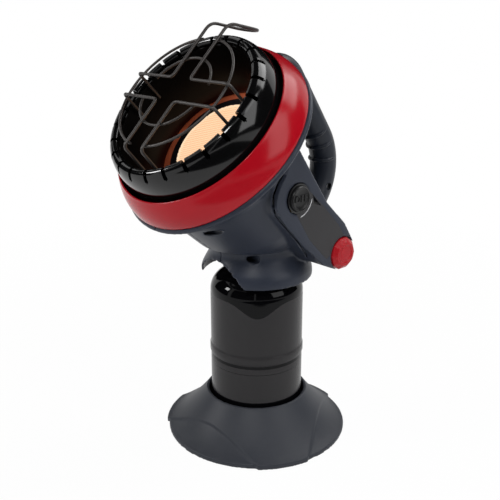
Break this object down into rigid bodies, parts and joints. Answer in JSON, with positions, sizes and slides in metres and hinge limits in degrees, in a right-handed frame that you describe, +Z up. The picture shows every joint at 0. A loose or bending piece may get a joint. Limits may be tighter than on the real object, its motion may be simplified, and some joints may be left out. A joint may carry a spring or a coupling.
{
  "type": "portable propane heater",
  "caption": "Round infrared burner head, tilted up, screwed on a small gas cylinder that stands in a flared foot; push buttons, wire guard and rear loop handle.",
  "frame": {"origin": "centre of the foot's underside, on the floor and on the cylinder's axis", "axes": "+Z up along the cylinder's axis; the burner faces -Y and 45 degrees up; +X is the side with the two buttons"},
  "size_m": [0.2164, 0.276, 0.4458],
  "materials": {
    "foot_plastic": "moulded, slate grey, fine grain",
    "cylinder_paint": "gloss black paint",
    "brass": "turned",
    "seal_rubber": "moulded",
    "housing_plastic": "moulded, charcoal grey, fine grain",
    "grip_plastic": "moulded, dark blue-grey",
    "plated_steel": "zinc plated",
    "bezel_red": "gloss red",
    "black_enamel": "high-gloss black enamel",
    "dish_enamel": "gloss black, heat stained",
    "burner_steel": "heat tinted",
    "ceramic_tile": "honeycomb face, glowing",
    "fibre_seal": "ceramic fibre",
    "cast_alloy": "die cast",
    "black_plastic": "moulded black",
    "lead_sleeve": "silicone sleeve",
    "glazed_insulator": "glazed white",
    "copper_lead": "copper tube",
    "panel_sheet": "dark charcoal, satin",
    "guard_wire": "dark oxide",
    "button_red": "red, satin",
    "arm_plastic": "natural nylon"
  },
  "bodies": {
    "base": {"foot": "foot_plastic"},
    "gas cylinder": {"cylinder_lower_shell": "cylinder_paint", "cylinder_upper_shell": "cylinder_paint", "cylinder_foot_ring": "cylinder_paint", "cylinder_valve_boss": "brass", "cylinder_valve_core": "brass", "cylinder_relief_valve": "brass"},
    "thread carrier": {"inlet_gasket": "seal_rubber"},
    "head": {"housing_right": "housing_plastic", "housing_left": "housing_plastic", "handle_right": "grip_plastic", "handle_left": "grip_plastic", "housing_screws": "plated_steel", "handle_screws": "plated_steel", "bezel_ring": "bezel_red", "front_grille": "black_enamel", "reflector": "dish_enamel", "heat_shield": "plated_steel", "burner_can": "burner_steel", "ceramic_tile": "ceramic_tile", "tile_gasket": "fibre_seal", "tile_retainer": "dish_enamel", "mixer_tube": "plated_steel", "gas_jet": "brass", "valve_body": "cast_alloy", "inlet_collar": "brass", "regulator_cup": "cast_alloy", "regulator_cover": "plated_steel", "regulator_diaphragm": "seal_rubber", "regulator_spring": "plated_steel", "igniter": "black_plastic", "igniter_wire": "lead_sleeve", "spark_electrode": "glazed_insulator", "thermocouple": "copper_lead", "off_switch": "black_plastic", "tip_switch": "black_plastic", "control_panel": "panel_sheet", "off_bezel": "black_plastic", "wire_guard": "guard_wire", "burner_screws": "plated_steel"},
    "off button": {"off_button": "black_plastic", "off_spring": "plated_steel"},
    "ignition button": {"ignition_button": "button_red", "ignition_spring": "plated_steel", "push_arm": "arm_plastic"}
  },
  "joints": [
    {"name": "cylinder_out", "type": "slide", "parent": "base", "child": "gas cylinder", "axis": [0, 0, 1], "range_m": [0, 0.045]},
    {"name": "thread_lift", "type": "slide", "parent": "gas cylinder", "child": "thread carrier", "axis": [0, 0, 1], "range_m": [0, 0.00508]},
    {"name": "head_unscrew", "type": "hinge", "parent": "thread carrier", "child": "head", "pos_m": [0, 0, 0.2], "axis": [0, 0, 1], "range_deg": [0, 1440]},
    {"name": "off_press", "type": "slide", "parent": "head", "child": "off button", "axis": [-1, 0, 0], "range_m": [0, 0.003], "stiffness_N_per_m": 600, "springref_m": -0.001},
    {"name": "ignition_press", "type": "slide", "parent": "head", "child": "ignition button", "axis": [-1, 0, 0], "range_m": [0, 0.006], "stiffness_N_per_m": 900, "springref_m": -0.0015}
  ],
  "couplings": [
    {"joint": "thread_lift", "follows": "head_unscrew", "m_per_rad": 0.00020213}
  ]
}
